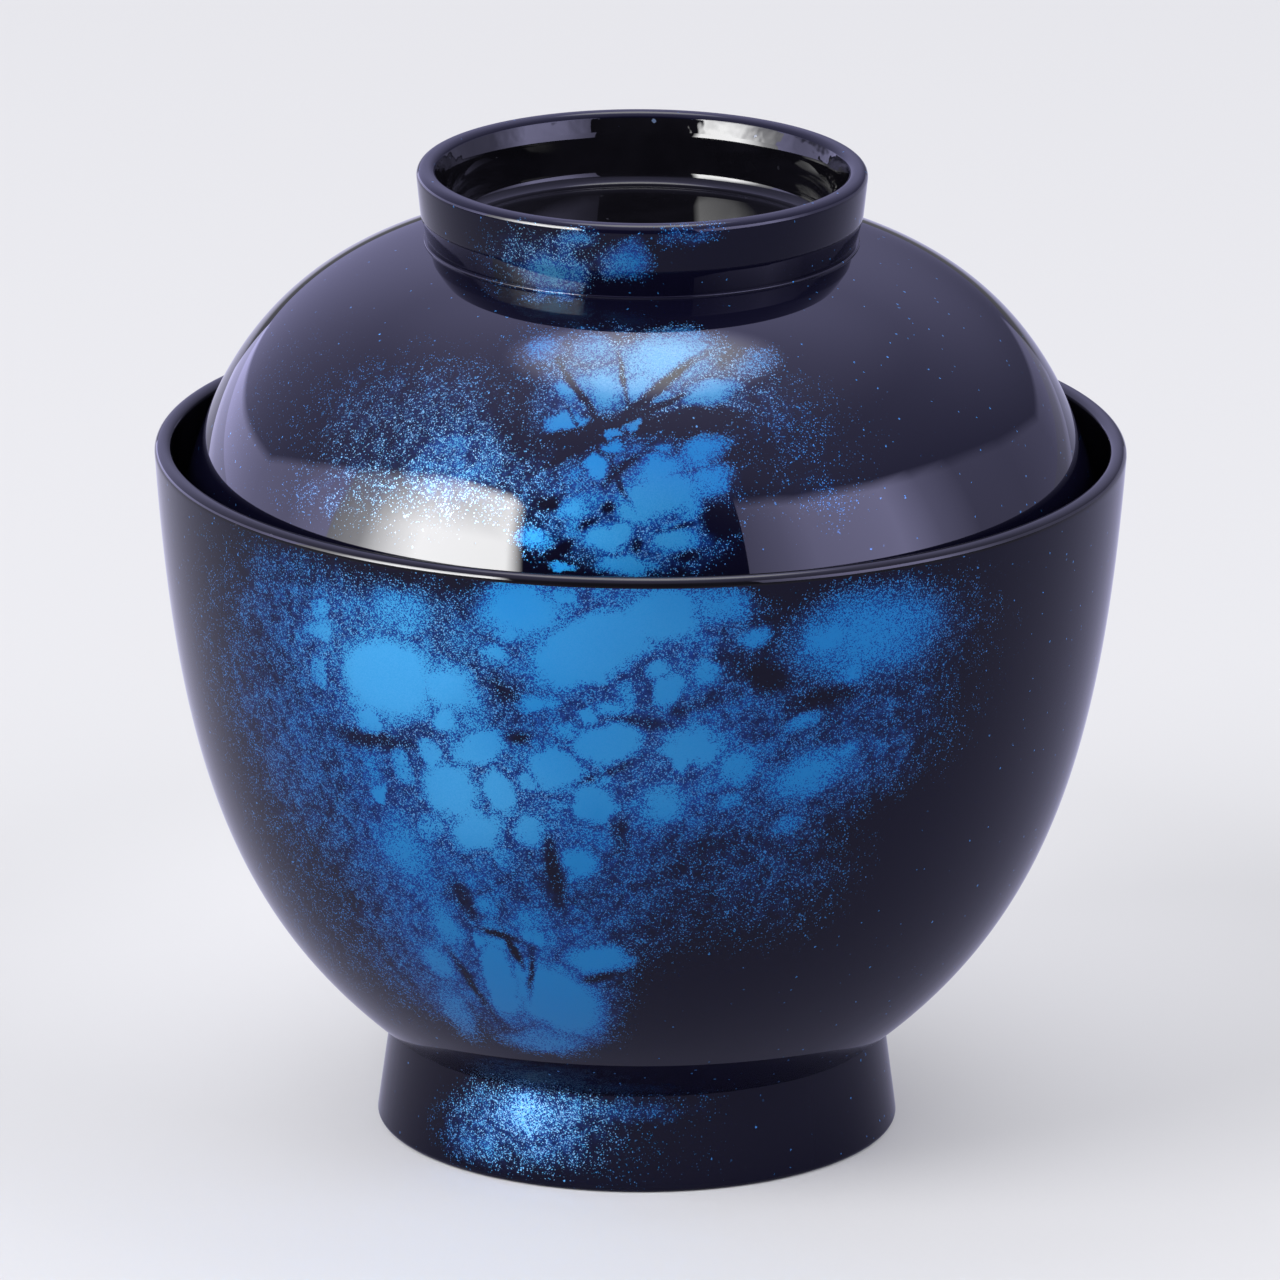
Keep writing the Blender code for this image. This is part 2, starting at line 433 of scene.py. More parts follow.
class Graph:
    """Builds a node tree. An input that is given as a socket is linked, and any other is set."""

    def __init__(self, tree: bpy.types.NodeTree) -> None:
        """Starts from an empty tree."""
        self.tree = tree
        tree.nodes.clear()

    def node(self, kind: str, inputs: Mapping[Any, Any], **settings: Any) -> bpy.types.Node:
        """Adds one node.

        Args:
            kind: Blender's name of the node's type.
            inputs: Values or sockets for the node's inputs, by name or number.
            settings: Values for the node's own properties.

        Returns:
            The new node.
        """
        node = self.tree.nodes.new(kind)
        for key, value in settings.items():
            setattr(node, key, value)
        for key, value in inputs.items():
            if isinstance(value, bpy.types.NodeSocket):
                self.tree.links.new(value, node.inputs[key])
            else:
                node.inputs[key].default_value = value
        return node

    def math(self, operation: str, first: Number, second: Number, clamp: bool = False) -> Socket:
        """One sum of two numbers, kept between 0 and 1 if it is clamped."""
        inputs = {0: first, 1: second}
        return self.node("ShaderNodeMath", inputs, operation=operation, use_clamp=clamp).outputs[0]

    def product(self, first: Number, *others: Number) -> Socket:
        """The product of several numbers.

        Args:
            first: First number.
            others: The numbers to multiply it by.

        Returns:
            The product.
        """
        for other in others:
            first = self.math("MULTIPLY", first, other)
        return first

    def vector(self, operation: str, first: Any, second: Any) -> Socket:
        """One sum of two vectors, or of a vector and a scale."""
        inputs = {0: first, "Scale" if operation == "SCALE" else 1: second}
        return self.node("ShaderNodeVectorMath", inputs, operation=operation).outputs[0]

    def measure(self, operation: str, *vectors: Any) -> Socket:
        """One number from one or two vectors, such as a length."""
        inputs = dict(enumerate(vectors))
        return self.node("ShaderNodeVectorMath", inputs, operation=operation).outputs["Value"]

    def ramp(
        self, value: Number, start: Number, end: Number, low: Number = 0.0, high: Number = 1.0
    ) -> Socket:
        """A smooth step, from a low level where the value is at the start to a high one at the end."""
        inputs = {0: value, 1: start, 2: end, 3: low, 4: high}
        return self.node("ShaderNodeMapRange", inputs, interpolation_type="SMOOTHSTEP").outputs[0]

    def noise(
        self, place: Socket, size: float, detail: float, roughness: float = 0.5
    ) -> bpy.types.Node:
        """Cloudy noise whose largest clouds have a size; detail is how many finer layers it has."""
        inputs = {"Vector": place, "Scale": 1 / size, "Detail": detail, "Roughness": roughness}
        return self.node("ShaderNodeTexNoise", inputs, noise_dimensions="3D")

    def cells(self, place: Socket, size: float, feature: str = "F1") -> bpy.types.Node:
        """Irregular cells about a size apart, with colours or with the distance to their walls."""
        inputs = {"Vector": place, "Scale": 1 / size, "Randomness": 1.0}
        return self.node("ShaderNodeTexVoronoi", inputs, voronoi_dimensions="3D", feature=feature)

    def chances(self, place: Socket, size: float) -> bpy.types.Node:
        """Three random numbers for each grain or cell of a size."""
        return self.node("ShaderNodeSeparateColor", {0: self.cells(place, size).outputs["Color"]})

    def blend(self, share: Number, first: Any, second: Any) -> Socket:
        """A mix of two colours.

        Args:
            share: Share of the second colour.
            first: First colour.
            second: Second colour.

        Returns:
            The mixed colour.
        """
        node = self.node("ShaderNodeMix", {}, data_type="RGBA", blend_type="MIX", clamp_factor=True)
        # The node keeps its two colours in sockets 6 and 7, and the mixed colour in socket 2.
        for key, value in {0: share, 6: first, 7: second}.items():
            socket = node.inputs[key]
            if isinstance(value, bpy.types.NodeSocket):
                self.tree.links.new(value, socket)
            else:
                socket.default_value = (*value, 1.0) if isinstance(value, tuple) else value
        return node.outputs[2]

    def place(self) -> Socket:
        """The piece's own coordinates in millimetres."""
        coordinates = self.node("ShaderNodeTexCoord", {})
        return self.vector("SCALE", coordinates.outputs["Object"], 1 / MM)

    def spot(self, place: Socket, burst: Burst, piece: TurnedPiece) -> Socket:
        """How much of one burst falls on each place.

        Args:
            place: Coordinates in millimetres.
            burst: The burst.
            piece: The piece that it lies on.

        Returns:
            The burst's strength in its middle, down to 0 at its edge.
        """
        seat = piece.seat(burst.turn, burst.height) @ Matrix.Rotation(math.radians(burst.tilt), 4, "Z")
        inputs = {
            "Vector": place,
            "Location": seat.translation,
            "Rotation": seat.to_euler(),
            "Scale": (burst.width, burst.length, (burst.width + burst.length) / 2),
        }
        local = self.node("ShaderNodeMapping", inputs, vector_type="TEXTURE").outputs[0]
        near = self.node("ShaderNodeTexGradient", {0: local}, gradient_type="SPHERICAL").outputs["Fac"]
        return self.ramp(near, 0.0, 1.0 - burst.solid, 0.0, burst.strength)

    def spots(
        self, place: Socket, bursts: Sequence[Burst], piece: TurnedPiece, operation: str
    ) -> Socket:
        """Several bursts together.

        Args:
            place: Coordinates in millimetres.
            bursts: The bursts.
            piece: The piece that they lie on.
            operation: ADD or MAXIMUM.

        Returns:
            Their combined strength.
        """
        total = self.spot(place, bursts[0], piece)
        for burst in bursts[1:]:
            total = self.math(operation, total, self.spot(place, burst, piece))
        return total

    def end(self, shader: bpy.types.Node, kind: str = "Material") -> None:
        """Ends the tree of a material, or of a world, with a shader."""
        self.node(f"ShaderNodeOutput{kind}", {"Surface": shader.outputs[0]})


def new_material(name: str) -> tuple[bpy.types.Material, Graph]:
    """A new material with its empty tree.

    Args:
        name: The material's name.

    Returns:
        The material, and the graph that fills it.
    """
    material = bpy.data.materials.new(name)
    material.use_nodes = True
    return material, Graph(material.node_tree)


@dataclass(frozen=True)
class ClearCoat:
    """The clear lacquer that every surface ends with."""

    ior: float = 1.24
    roughness: float = 0.02
    ripple_size: float = 2.6
    ripple_height: float = 0.0003
    ripple_detail: float = 1.0

    def finish(
        self, graph: Graph, place: Socket, colour: Socket, metal: Number = 0.0, satin: Number = 0.5
    ) -> None:
        """Ends a material with the glossy coat over a colour.

        Args:
            graph: The material's nodes.
            place: Coordinates in millimetres.
            colour: The colour under the coat.
            metal: Share of metal powder under the coat.
            satin: Roughness under the coat.
        """
        ripple = graph.noise(place, self.ripple_size, self.ripple_detail).outputs["Fac"]
        height = {"Height": ripple, "Strength": 1.0, "Distance": self.ripple_height * MM}
        bump = graph.node("ShaderNodeBump", height).outputs[0]
        inputs = {
            "Base Color": colour,
            "Metallic": metal,
            "Roughness": satin,
            "Specular IOR Level": 0.0,
            "Coat Weight": 1.0,
            "Coat Roughness": self.roughness,
            "Coat IOR": self.ior,
            "Coat Normal": bump,
        }
        graph.end(graph.node("ShaderNodeBsdfPrincipled", inputs))


@dataclass(frozen=True)
class PlainLacquer:
    """Black lacquer of the inside, the lip and the underside."""

    name: str = "plain_black_lacquer"
    black: Colour = (0.0030, 0.0028, 0.0042)
    bloom: Colour = (0.0060, 0.0056, 0.0085)
    bloom_size: float = 14.0
    bloom_detail: Pair = (4.0, 0.6)
    bloom_edge: Pair = (0.35, 0.7)
    fleck: Colour = (0.030, 0.030, 0.040)
    fleck_size: float = 0.3
    fleck_core: float = 0.65
    flecks: float = 0.0012
    coat: ClearCoat = ClearCoat()

    def material(self) -> bpy.types.Material:
        """Makes the material.

        Returns:
            Black with a faint cloudy bloom and a few dull flecks, under the clear coat.
        """
        material, graph = new_material(self.name)
        place = graph.place()
        cloudy = graph.noise(place, self.bloom_size, *self.bloom_detail).outputs["Fac"]
        ground = graph.blend(graph.ramp(cloudy, *self.bloom_edge), self.black, self.bloom)
        chance = graph.chances(place, self.fleck_size).outputs[0]
        fleck = graph.ramp(chance, self.flecks, self.fleck_core * self.flecks)
        self.coat.finish(graph, place, graph.blend(fleck, ground, self.fleck))
        return material


@dataclass(frozen=True)
class MottledLacquer:
    """Violet-black lacquer with blue metal powder that was sprayed on through a mask, and painted
    highlight on the powder.

    A wander is the size of the waves that shake an edge, and how far they shake it. A detail is how
    many finer layers a noise has, and how strong those are.
    """

    name: str
    clouds: tuple[Burst, ...]
    floods: tuple[Burst, ...]
    strokes: tuple[Burst, ...]
    # Painted highlight: where light falls, these lift the powder from the deep colour to the light one,
    # and past 1 they whiten its specks.
    lights: tuple[Burst, ...]
    ground: Colour = (0.0032, 0.0030, 0.0110)
    mist: Colour = (0.0060, 0.0330, 0.1900)
    deep: Colour = (0.0078, 0.1500, 0.3600)
    # The light colour and the glint colour are the powder and its specks with painted highlight.
    light: Colour = (0.0260, 0.2150, 0.4300)
    painted_glint: Colour = (0.1900, 0.3600, 0.5900)
    dust: Colour = (0.0550, 0.1600, 0.4000)
    wander_detail: Pair = (3.0, 0.6)
    cloud_wander: Pair = (7.0, 1.4)
    flood_wander: Pair = (2.6, 0.75)
    stroke_wander: Pair = (6.0, 0.4)
    cell_wander: Pair = (4.0, 0.5)
    cell_size: float = 5.2
    pebble_size: float = 3.2
    patch_size: float = 14.0
    patch_edge: Pair = (0.44, 0.56)
    cell_disc: Pair = (0.68, 0.40)
    cell_chance: Step = (0.25, 0.6, 0.2, 1.0)
    fray_size: float = 2.4
    fray_detail: Pair = (3.0, 0.7)
    wall: Step = (0.3, 0.7, 0.02, 0.12)
    wall_fade: Step = (0.35, 0.65, 0.28, 0.14)
    opening: Step = (0.5, 1.2, 0.0, 1.3)
    puff_size: float = 2.0
    puff_detail: Pair = (4.0, 0.75)
    puff: Step = (0.3, 0.7, 0.07, 0.66)
    thickening: float = 0.9
    thinning: Step = (0.9, 1.8, 1.0, 0.45)
    undertone: float = 0.46
    wiped: float = 0.8
    veil_edge: Pair = (0.1, 1.1)
    fine_grain: float = 0.10
    fine_share: float = 0.9
    fine_begin: Step = (0.0, 0.5, 0.0, -0.10)
    fine_whole: Step = (0.0, 0.5, 0.05, 0.28)
    coarse_grain: float = 0.18
    coarse_share: float = 0.25
    coarse_edge: Pair = (0.0, 0.10)
    stray: float = 0.002
    stray_core: float = 0.5
    frost: Step = (0.1, 0.55, 1.0, 0.08)
    metal: float = 0.45
    satin: float = 0.40
    coat: ClearCoat = ClearCoat()

    def shaken(self, graph: Graph, place: Socket, size: float, reach: float) -> Socket:
        """Coordinates that wander, so that what is drawn with them has uneven edges.

        Args:
            graph: The material's nodes.
            place: Coordinates in millimetres.
            size: Size of the largest waves in millimetres.
            reach: About how far a place wanders, in millimetres.

        Returns:
            The shaken coordinates.
        """
        noise = graph.noise(place, size, *self.wander_detail).outputs["Color"]
        drift = graph.vector("SUBTRACT", noise, (0.5, 0.5, 0.5))
        return graph.vector("ADD", place, graph.vector("SCALE", drift, NOISE_GAIN * reach))

    def web(self, graph: Graph, place: Socket) -> Socket:
        """The mask's web: 1 in the open cells, 0 on the dark walls between them.

        Args:
            graph: The material's nodes.
            place: Coordinates in millimetres.

        Returns:
            How open the mask is.
        """
        bent = self.shaken(graph, place, *self.cell_wander)
        fray = graph.noise(place, self.fray_size, *self.fray_detail).outputs["Fac"]
        begin = graph.ramp(fray, *self.wall)
        wide = graph.math("ADD", begin, graph.ramp(fray, *self.wall_fade))
        opened: list[Socket] = []
        for size in (self.cell_size, self.pebble_size):
            edge = graph.cells(bent, size, "DISTANCE_TO_EDGE").outputs["Distance"]
            wall = graph.ramp(edge, begin, wide)
            disc = graph.ramp(graph.cells(bent, size).outputs["Distance"], *self.cell_disc)
            present = graph.ramp(graph.chances(bent, size).outputs[0], *self.cell_chance)
            opened.append(graph.product(wall, disc, present))
        patch = graph.noise(place, self.patch_size, 1.0).outputs["Fac"]
        choice = graph.ramp(patch, *self.patch_edge)
        few = graph.product(opened[0], graph.math("SUBTRACT", 1.0, choice))
        many = graph.product(opened[1], choice)
        return graph.math("ADD", few, many)

    def cover(self, graph: Graph, place: Socket, piece: TurnedPiece) -> tuple[Socket, Socket]:
        """How densely the powder lies.

        Args:
            graph: The material's nodes.
            place: Coordinates in millimetres.
            piece: The piece that the bursts lie on.

        Returns:
            The share of the ground that is covered, which is solid above 1, and how strong the veil of
            the finest powder under it is.
        """
        loose = self.shaken(graph, place, *self.cloud_wander)
        ragged = self.shaken(graph, place, *self.flood_wander)
        cloud = graph.spots(loose, self.clouds, piece, "ADD")
        flood = graph.spots(ragged, self.floods, piece, "MAXIMUM")
        wiping = self.shaken(graph, place, *self.stroke_wander)
        stroke = graph.spots(wiping, self.strokes, piece, "MAXIMUM")
        opening = graph.ramp(cloud, *self.opening)
        body = graph.product(opening, self.web(graph, place))
        body = graph.math("MAXIMUM", body, flood)
        puffs = graph.noise(place, self.puff_size, *self.puff_detail).outputs["Fac"]
        puff = graph.ramp(puffs, *self.puff)
        thick = graph.math("POWER", graph.math("MINIMUM", cloud, 1.0), self.thickening)
        thin = graph.ramp(cloud, *self.thinning)
        haze = graph.product(thick, puff, thin)
        keep = graph.math("SUBTRACT", 1.0, stroke, clamp=True)
        cover = graph.product(graph.math("MAXIMUM", body, haze), keep)
        clear = graph.math("SUBTRACT", 1.0, graph.product(stroke, self.wiped), clamp=True)
        under = graph.product(thick, clear, self.undertone)
        return cover, graph.ramp(graph.math("ADD", cover, under), *self.veil_edge)

    def material(self, piece: TurnedPiece) -> bpy.types.Material:
        """Makes the material.

        Args:
            piece: The piece that the bursts lie on.

        Returns:
            The mottled colours, with painted highlight, under the clear coat.
        """
        material, graph = new_material(self.name)
        place = graph.place()
        cover, veil = self.cover(graph, place, piece)
        fine = graph.chances(place, self.fine_grain)
        coarse = graph.chances(place, self.coarse_grain)
        begin = graph.ramp(cover, *self.fine_begin)
        whole = graph.ramp(cover, *self.fine_whole)
        small = graph.math("SUBTRACT", graph.product(cover, self.fine_share), fine.outputs[0])
        small = graph.ramp(small, begin, whole)
        large = graph.math("SUBTRACT", graph.product(cover, self.coarse_share), coarse.outputs[0])
        large = graph.ramp(large, *self.coarse_edge)
        lone = graph.ramp(coarse.outputs[2], self.stray, self.stray_core * self.stray)
        speck = graph.math("MAXIMUM", graph.math("MAXIMUM", small, large), lone)
        ground = graph.blend(veil, self.ground, self.mist)
        # Painted highlight: lighter powder where light falls.
        painted_highlight = graph.spots(place, self.lights, piece, "ADD")
        solid = graph.blend(painted_highlight, self.deep, self.light)
        # Pale specks where the powder is sparse, and painted glints where the painted highlight passes
        # 1.
        sparse = graph.ramp(cover, *self.frost)
        frost = graph.math("MAXIMUM", sparse, graph.math("SUBTRACT", painted_highlight, 1.0))
        bright = graph.product(fine.outputs[1], frost)
        powder = graph.blend(bright, solid, graph.blend(painted_highlight, self.dust, self.painted_glint))
        metal = graph.product(speck, self.metal)
        self.coat.finish(graph, place, graph.blend(speck, ground, powder), metal, self.satin)
        return material


BOWL_CLOUDS = ellipse_table(
    (-30.1, 61.6, 16.9, 12.7, 9, 1.0, 0.2), (-3.4, 68.1, 18.7, 9.2, 1, 1.15, 0.35),
    (-5.8, 61.0, 15.7, 8.8, 2, 0.85, 0.2), (-23.7, 48.6, 15.4, 13.4, 8, 1.0, 0.2),
    (-4.7, 50.5, 15.8, 13.0, 2, 1.0, 0.2), (7.9, 55.0, 12.3, 11.8, -2, 0.85, 0.1),
    (29.3, 64.7, 18.2, 10.9, 3, 0.52, 0.0), (23.8, 51.6, 15.6, 10.5, 20, 0.62, 0.0),
    (-28.1, 38.3, 14.0, 15.3, 10, 0.8, 0.1), (-7.6, 36.6, 14.9, 13.9, 4, 0.65, 0.1),
    (-14.6, 25.6, 12.1, 14.3, 7, 1.05, 0.2), (-30.3, 26.5, 13.8, 14.5, 13, 0.65, 0.0),
    (-42.4, 48.0, 19.5, 21.6, 13, 0.5, 0.0), (15.7, 40.4, 16.6, 14.1, -5, 0.45, 0.0),
    (39.6, 62.1, 15.9, 14.6, -11, 0.11, 0.0), (33.3, 53.2, 13.8, 10.2, 9, 0.26, 0.0),
    (-52.7, 55.9, 23.5, 23.7, 14, 0.33, 0.0), (-50.8, 27.9, 25.8, 23.2, 18, 0.22, 0.0),
    (-28.6, 6.3, 14.8, 6.9, 9, 0.95, 0.1), (0.7, 8.7, 11.9, 2.5, 0, 0.5, 0.0),
    (-5.9, 4.4, 17.1, 6.3, 2, 0.14, 0.0), (15.5, 60.6, 12.7, 11.1, -5, 0.2, 0.0),
    (-43.8, 66.4, 16.4, 9.6, 5, 0.48, 0.0),
)
BOWL_FLOODS = ellipse_table(
    (-31.4, 60.0, 8.1, 6.5, 10, 1.7, 0.3), (-23.7, 56.6, 2.7, 2.1, 8, 1.3, 0.2),
    (-17.1, 64.4, 2.5, 2.0, 6, 1.2, 0.1), (-12.4, 59.3, 3.3, 1.6, 11, 1.3, 0.2),
    (-3.5, 59.1, 2.8, 1.6, 2, 1.3, 0.2), (2.5, 63.1, 2.3, 1.6, -1, 1.3, 0.2),
    (-8.3, 56.4, 2.6, 1.6, 3, 1.1, 0.1), (-3.6, 55.1, 5.0, 3.4, 8, 1.6, 0.3),
    (6.7, 54.9, 4.6, 3.1, -6, 1.4, 0.2), (-19.3, 53.9, 4.6, 2.8, 28, 1.5, 0.3),
    (-10.0, 51.9, 4.8, 3.2, -23, 1.6, 0.3), (-13.7, 50.3, 2.2, 1.7, 5, 1.2, 0.2),
    (-23.6, 48.5, 4.4, 4.9, 8, 1.6, 0.3), (-17.5, 49.0, 2.3, 3.8, 12, 1.6, 0.3),
    (-5.5, 48.4, 3.2, 3.5, 2, 1.5, 0.3), (2.7, 48.5, 4.1, 4.2, -23, 1.25, 0.1),
    (-21.0, 44.3, 4.6, 3.2, 27, 1.6, 0.3), (-13.5, 45.1, 3.1, 3.0, -12, 1.3, 0.2),
    (-7.5, 41.6, 3.0, 3.2, 3, 1.3, 0.2), (-31.3, 40.8, 5.0, 7.3, 11, 1.05, 0.0),
    (-20.6, 35.9, 2.5, 2.4, 8, 1.0, 0.1), (-14.7, 34.2, 3.3, 3.4, 6, 0.9, 0.0),
    (-27.0, 32.4, 2.4, 4.8, 11, 1.2, 0.1), (-19.7, 31.8, 3.8, 3.6, 8, 1.2, 0.1),
    (-12.5, 24.4, 5.9, 8.2, 32, 1.7, 0.35), (-20.6, 26.1, 2.4, 7.9, -1, 1.7, 0.35),
    (-5.5, 30.0, 4.9, 3.1, 3, 1.4, 0.2), (-15.9, 18.3, 7.1, 3.8, 10, 0.95, 0.1),
    (-30.2, 27.5, 3.4, 4.2, 12, 1.1, 0.1), (-30.6, 21.2, 3.3, 8.2, 1, 0.9, 0.0),
    (27.9, 65.5, 13.9, 8.0, 2, 1.05, 0.0), (22.5, 65.5, 5.0, 3.2, -7, 1.25, 0.1),
    (25.9, 61.6, 3.5, 2.4, 2, 1.1, 0.0), (13.6, 66.3, 2.7, 2.2, 7, 1.15, 0.1),
    (7.7, 63.0, 2.4, 2.2, -2, 1.15, 0.1), (11.9, 52.2, 4.0, 3.2, -24, 1.2, 0.1),
    (19.7, 56.7, 3.6, 1.7, 10, 1.05, 0.0), (25.9, 53.1, 2.7, 1.6, 15, 0.9, 0.0),
    (11.1, 48.4, 2.7, 2.2, -3, 0.9, 0.0), (18.6, 45.7, 3.1, 2.3, 17, 0.75, 0.0),
    (-29.0, 67.5, 8.3, 4.4, 9, 0.8, 0.0), (-13.6, 69.1, 7.1, 4.8, 4, 1.45, 0.2),
    (-5.7, 65.4, 9.6, 4.9, 28, 1.75, 0.35), (2.5, 69.1, 6.2, 5.0, 6, 1.5, 0.25),
    (-23.3, 59.9, 5.7, 4.5, -16, 1.4, 0.15), (-21.4, 65.4, 5.0, 3.3, 7, 0.5, 0.0),
    (9.3, 70.1, 5.8, 3.2, -2, 1.0, 0.1), (21.1, 50.8, 7.7, 4.1, 22, 1.2, 0.0),
    (-26.2, 7.5, 6.0, 3.6, 8, 0.8, 0.0),
)
BOWL_STROKES = ellipse_table(
    (15.1, 61.9, 3.5, 2.4, -24, 0.95, 0.2), (22.1, 59.3, 6.5, 1.6, 2, 0.7, 0.0),
    (30.1, 55.6, 11.1, 1.7, 11, 0.2, 0.0), (-19.2, 32.2, 3.9, 1.1, -15, 0.95, 0.2),
    (-17.7, 30.7, 0.9, 4.9, 17, 0.95, 0.2), (-15.7, 27.5, 0.8, 6.8, -10, 0.9, 0.1),
    (-5.4, 27.7, 3.7, 1.1, 23, 0.85, 0.1), (-25.5, 25.2, 1.0, 7.4, 16, 0.85, 0.1),
    (-10.9, 40.6, 1.5, 7.5, 9, 0.85, 0.2), (-23.9, 35.9, 2.1, 5.0, 17, 0.7, 0.1),
    (-14.3, 55.4, 3.2, 1.6, 5, 0.8, 0.1), (-33.7, 52.8, 8.6, 1.9, 3, 0.75, 0.1),
    (0.1, 57.6, 7.1, 1.3, -11, 0.6, 0.1), (-4.7, 51.7, 6.2, 1.1, 22, 0.6, 0.1),
    (-2.3, 44.9, 1.8, 4.0, 1, 0.7, 0.1), (-16.0, 60.4, 4.0, 1.8, -33, 0.6, 0.1),
    (6.0, 59.4, 6.1, 1.6, 11, 0.5, 0.1), (31.7, 45.0, 12.0, 2.7, 17, 0.5, 0.0),
)
# Painted highlight on the bowl: lighter powder on the left of the wall, and lighter powder with whiter
# specks on the foot.
BOWL_PAINTED_HIGHLIGHTS = ellipse_table(
    (-30.0, 62.0, 17.0, 13.0, 0, 1.0, 0.3), (-20.0, 48.0, 13.0, 11.0, 0, 1.0, 0.2),
    (-3.0, 66.0, 17.0, 10.0, 0, 0.45, 0.2), (0.0, 53.0, 14.0, 10.0, 0, 0.4, 0.2),
    (-25.0, 6.5, 13.0, 8.0, 0, 1.9, 0.3),
)
LID_CLOUDS = ellipse_table(
    (-0.2, 89.9, 14.2, 8.3, 0, 0.75, 0.2), (2.0, 79.2, 12.1, 9.3, 0, 0.95, 0.2),
    (-10.8, 79.0, 8.7, 8.3, 3, 0.6, 0.1), (-33.9, 83.6, 19.2, 14.3, 10, 0.33, 0.0),
    (23.8, 83.8, 13.0, 11.7, -7, 0.2, 0.0), (-26.0, 80.8, 10.8, 6.4, 8, 0.64, 0.0),
    (-64.0, 82.3, 19.5, 17.0, 16, 0.09, 0.0), (-13.8, 91.6, 10.3, 5.4, 6, 0.4, 0.0),
    (19.3, 87.3, 7.4, 8.0, -6, 0.22, 0.0), (-45.1, 76.2, 12.4, 5.5, 12, 0.3, 0.0),
    (24.6, 77.9, 8.8, 4.7, -7, 0.18, 0.0), (-24.6, 84.8, 6.5, 6.9, 8, 0.14, 0.0),
    (-29.8, 98.1, 11.4, 5.5, 8, 0.5, 0.0), (-23.7, 96.8, 5.2, 3.7, 17, 1.1, 0.1),
    (-17.3, 101.1, 4.5, 2.0, 5, 0.7, 0.0), (-4.2, 98.1, 4.7, 3.3, 2, 1.25, 0.1),
    (12.2, 101.1, 5.7, 2.0, -3, 0.55, 0.0), (-13.0, 87.5, 4.9, 5.4, 5, 0.5, 0.0),
    (0.0, 74.8, 11.6, 5.6, 0, 0.6, 0.0), (-40.2, 85.2, 14.6, 11.0, 12, 0.16, 0.0),
)
LID_FLOODS = ellipse_table(
    (-18.6, 91.2, 3.0, 3.2, 8, 0.65, 0.0), (-12.5, 88.1, 2.7, 1.2, -40, 1.2, 0.1),
    (-11.1, 85.9, 3.2, 1.9, -1, 1.45, 0.3), (11.4, 88.3, 4.9, 2.6, 17, 1.3, 0.1),
    (-9.2, 88.9, 1.5, 2.6, 4, 1.0, 0.0), (4.1, 88.0, 2.3, 1.0, 39, 1.0, 0.1),
    (-4.1, 84.9, 1.1, 1.1, 2, 1.3, 0.2), (-1.3, 85.6, 1.7, 0.8, 29, 1.3, 0.2),
    (-3.9, 83.8, 1.6, 0.8, -25, 1.2, 0.2), (-6.1, 82.2, 1.7, 1.6, -19, 1.45, 0.3),
    (-9.4, 81.4, 1.8, 1.4, 3, 0.85, 0.0), (9.2, 83.4, 4.6, 2.3, 23, 1.2, 0.1),
    (2.6, 81.8, 4.2, 2.5, 15, 1.3, 0.2), (9.6, 80.9, 4.0, 2.5, 23, 1.15, 0.1),
    (2.5, 79.6, 6.3, 3.5, 10, 1.5, 0.3), (-0.4, 78.1, 2.9, 2.1, 0, 1.4, 0.2),
    (6.8, 78.6, 2.9, 2.1, -2, 1.2, 0.1), (3.1, 83.8, 1.9, 1.1, -1, 0.85, 0.0),
    (-4.2, 75.9, 3.6, 2.2, 10, 1.5, 0.3), (3.5, 75.3, 2.2, 1.5, 4, 1.2, 0.2),
    (-2.0, 73.1, 4.4, 1.9, 1, 1.3, 0.2), (-8.6, 78.4, 2.9, 2.0, 25, 1.2, 0.1),
    (-13.8, 75.2, 3.0, 2.1, 4, 1.15, 0.1), (-9.6, 73.0, 2.1, 0.6, -1, 1.2, 0.2),
    (-5.8, 88.6, 3.2, 4.6, 7, 1.3, 0.15), (4.4, 90.9, 8.4, 5.5, 23, 1.2, 0.1),
    (-0.2, 88.9, 3.6, 3.2, 25, 1.25, 0.1), (-8.2, 91.3, 4.5, 3.5, 4, 0.75, 0.0),
    (20.2, 90.2, 5.3, 3.1, 22, 0.5, 0.0), (-24.3, 96.8, 4.3, 2.8, 15, 0.95, 0.0),
    (-4.0, 98.2, 3.7, 2.9, 1, 0.8, 0.0), (-16.8, 100.9, 3.6, 1.3, 5, 0.6, 0.0),
)
LID_STROKES = ellipse_table(
    (-10.3, 88.4, 6.4, 0.6, -54, 0.9, 0.2), (-3.2, 89.4, 5.3, 0.5, -80, 0.75, 0.2),
    (3.7, 88.9, 9.7, 1.1, 42, 0.95, 0.2), (2.9, 87.3, 5.8, 0.7, 26, 0.85, 0.2),
    (8.3, 86.2, 8.3, 1.7, 4, 0.85, 0.1), (-9.9, 83.4, 5.0, 0.8, 34, 0.9, 0.2),
    (-10.3, 85.1, 3.7, 0.7, 17, 0.8, 0.2), (-9.8, 86.0, 3.5, 0.5, -53, 0.7, 0.2),
    (5.4, 89.4, 4.4, 0.4, 59, 0.55, 0.2), (-2.8, 80.8, 4.9, 0.7, -61, 0.7, 0.2),
    (-2.9, 81.9, 4.5, 0.9, 45, 0.8, 0.1), (-12.5, 78.5, 2.0, 1.3, 4, 0.95, 0.2),
    (-4.3, 78.6, 1.3, 1.1, 22, 0.9, 0.2), (-10.3, 74.3, 2.6, 0.9, 38, 0.9, 0.2),
    (10.4, 77.3, 3.2, 2.9, -23, 0.95, 0.3), (4.7, 76.7, 3.4, 0.6, 5, 0.75, 0.1),
    (6.1, 74.0, 2.6, 1.4, -1, 0.85, 0.1), (-0.6, 75.1, 0.9, 1.4, 1, 0.8, 0.1),
    (-7.2, 76.8, 2.6, 0.7, 28, 0.8, 0.1),
)
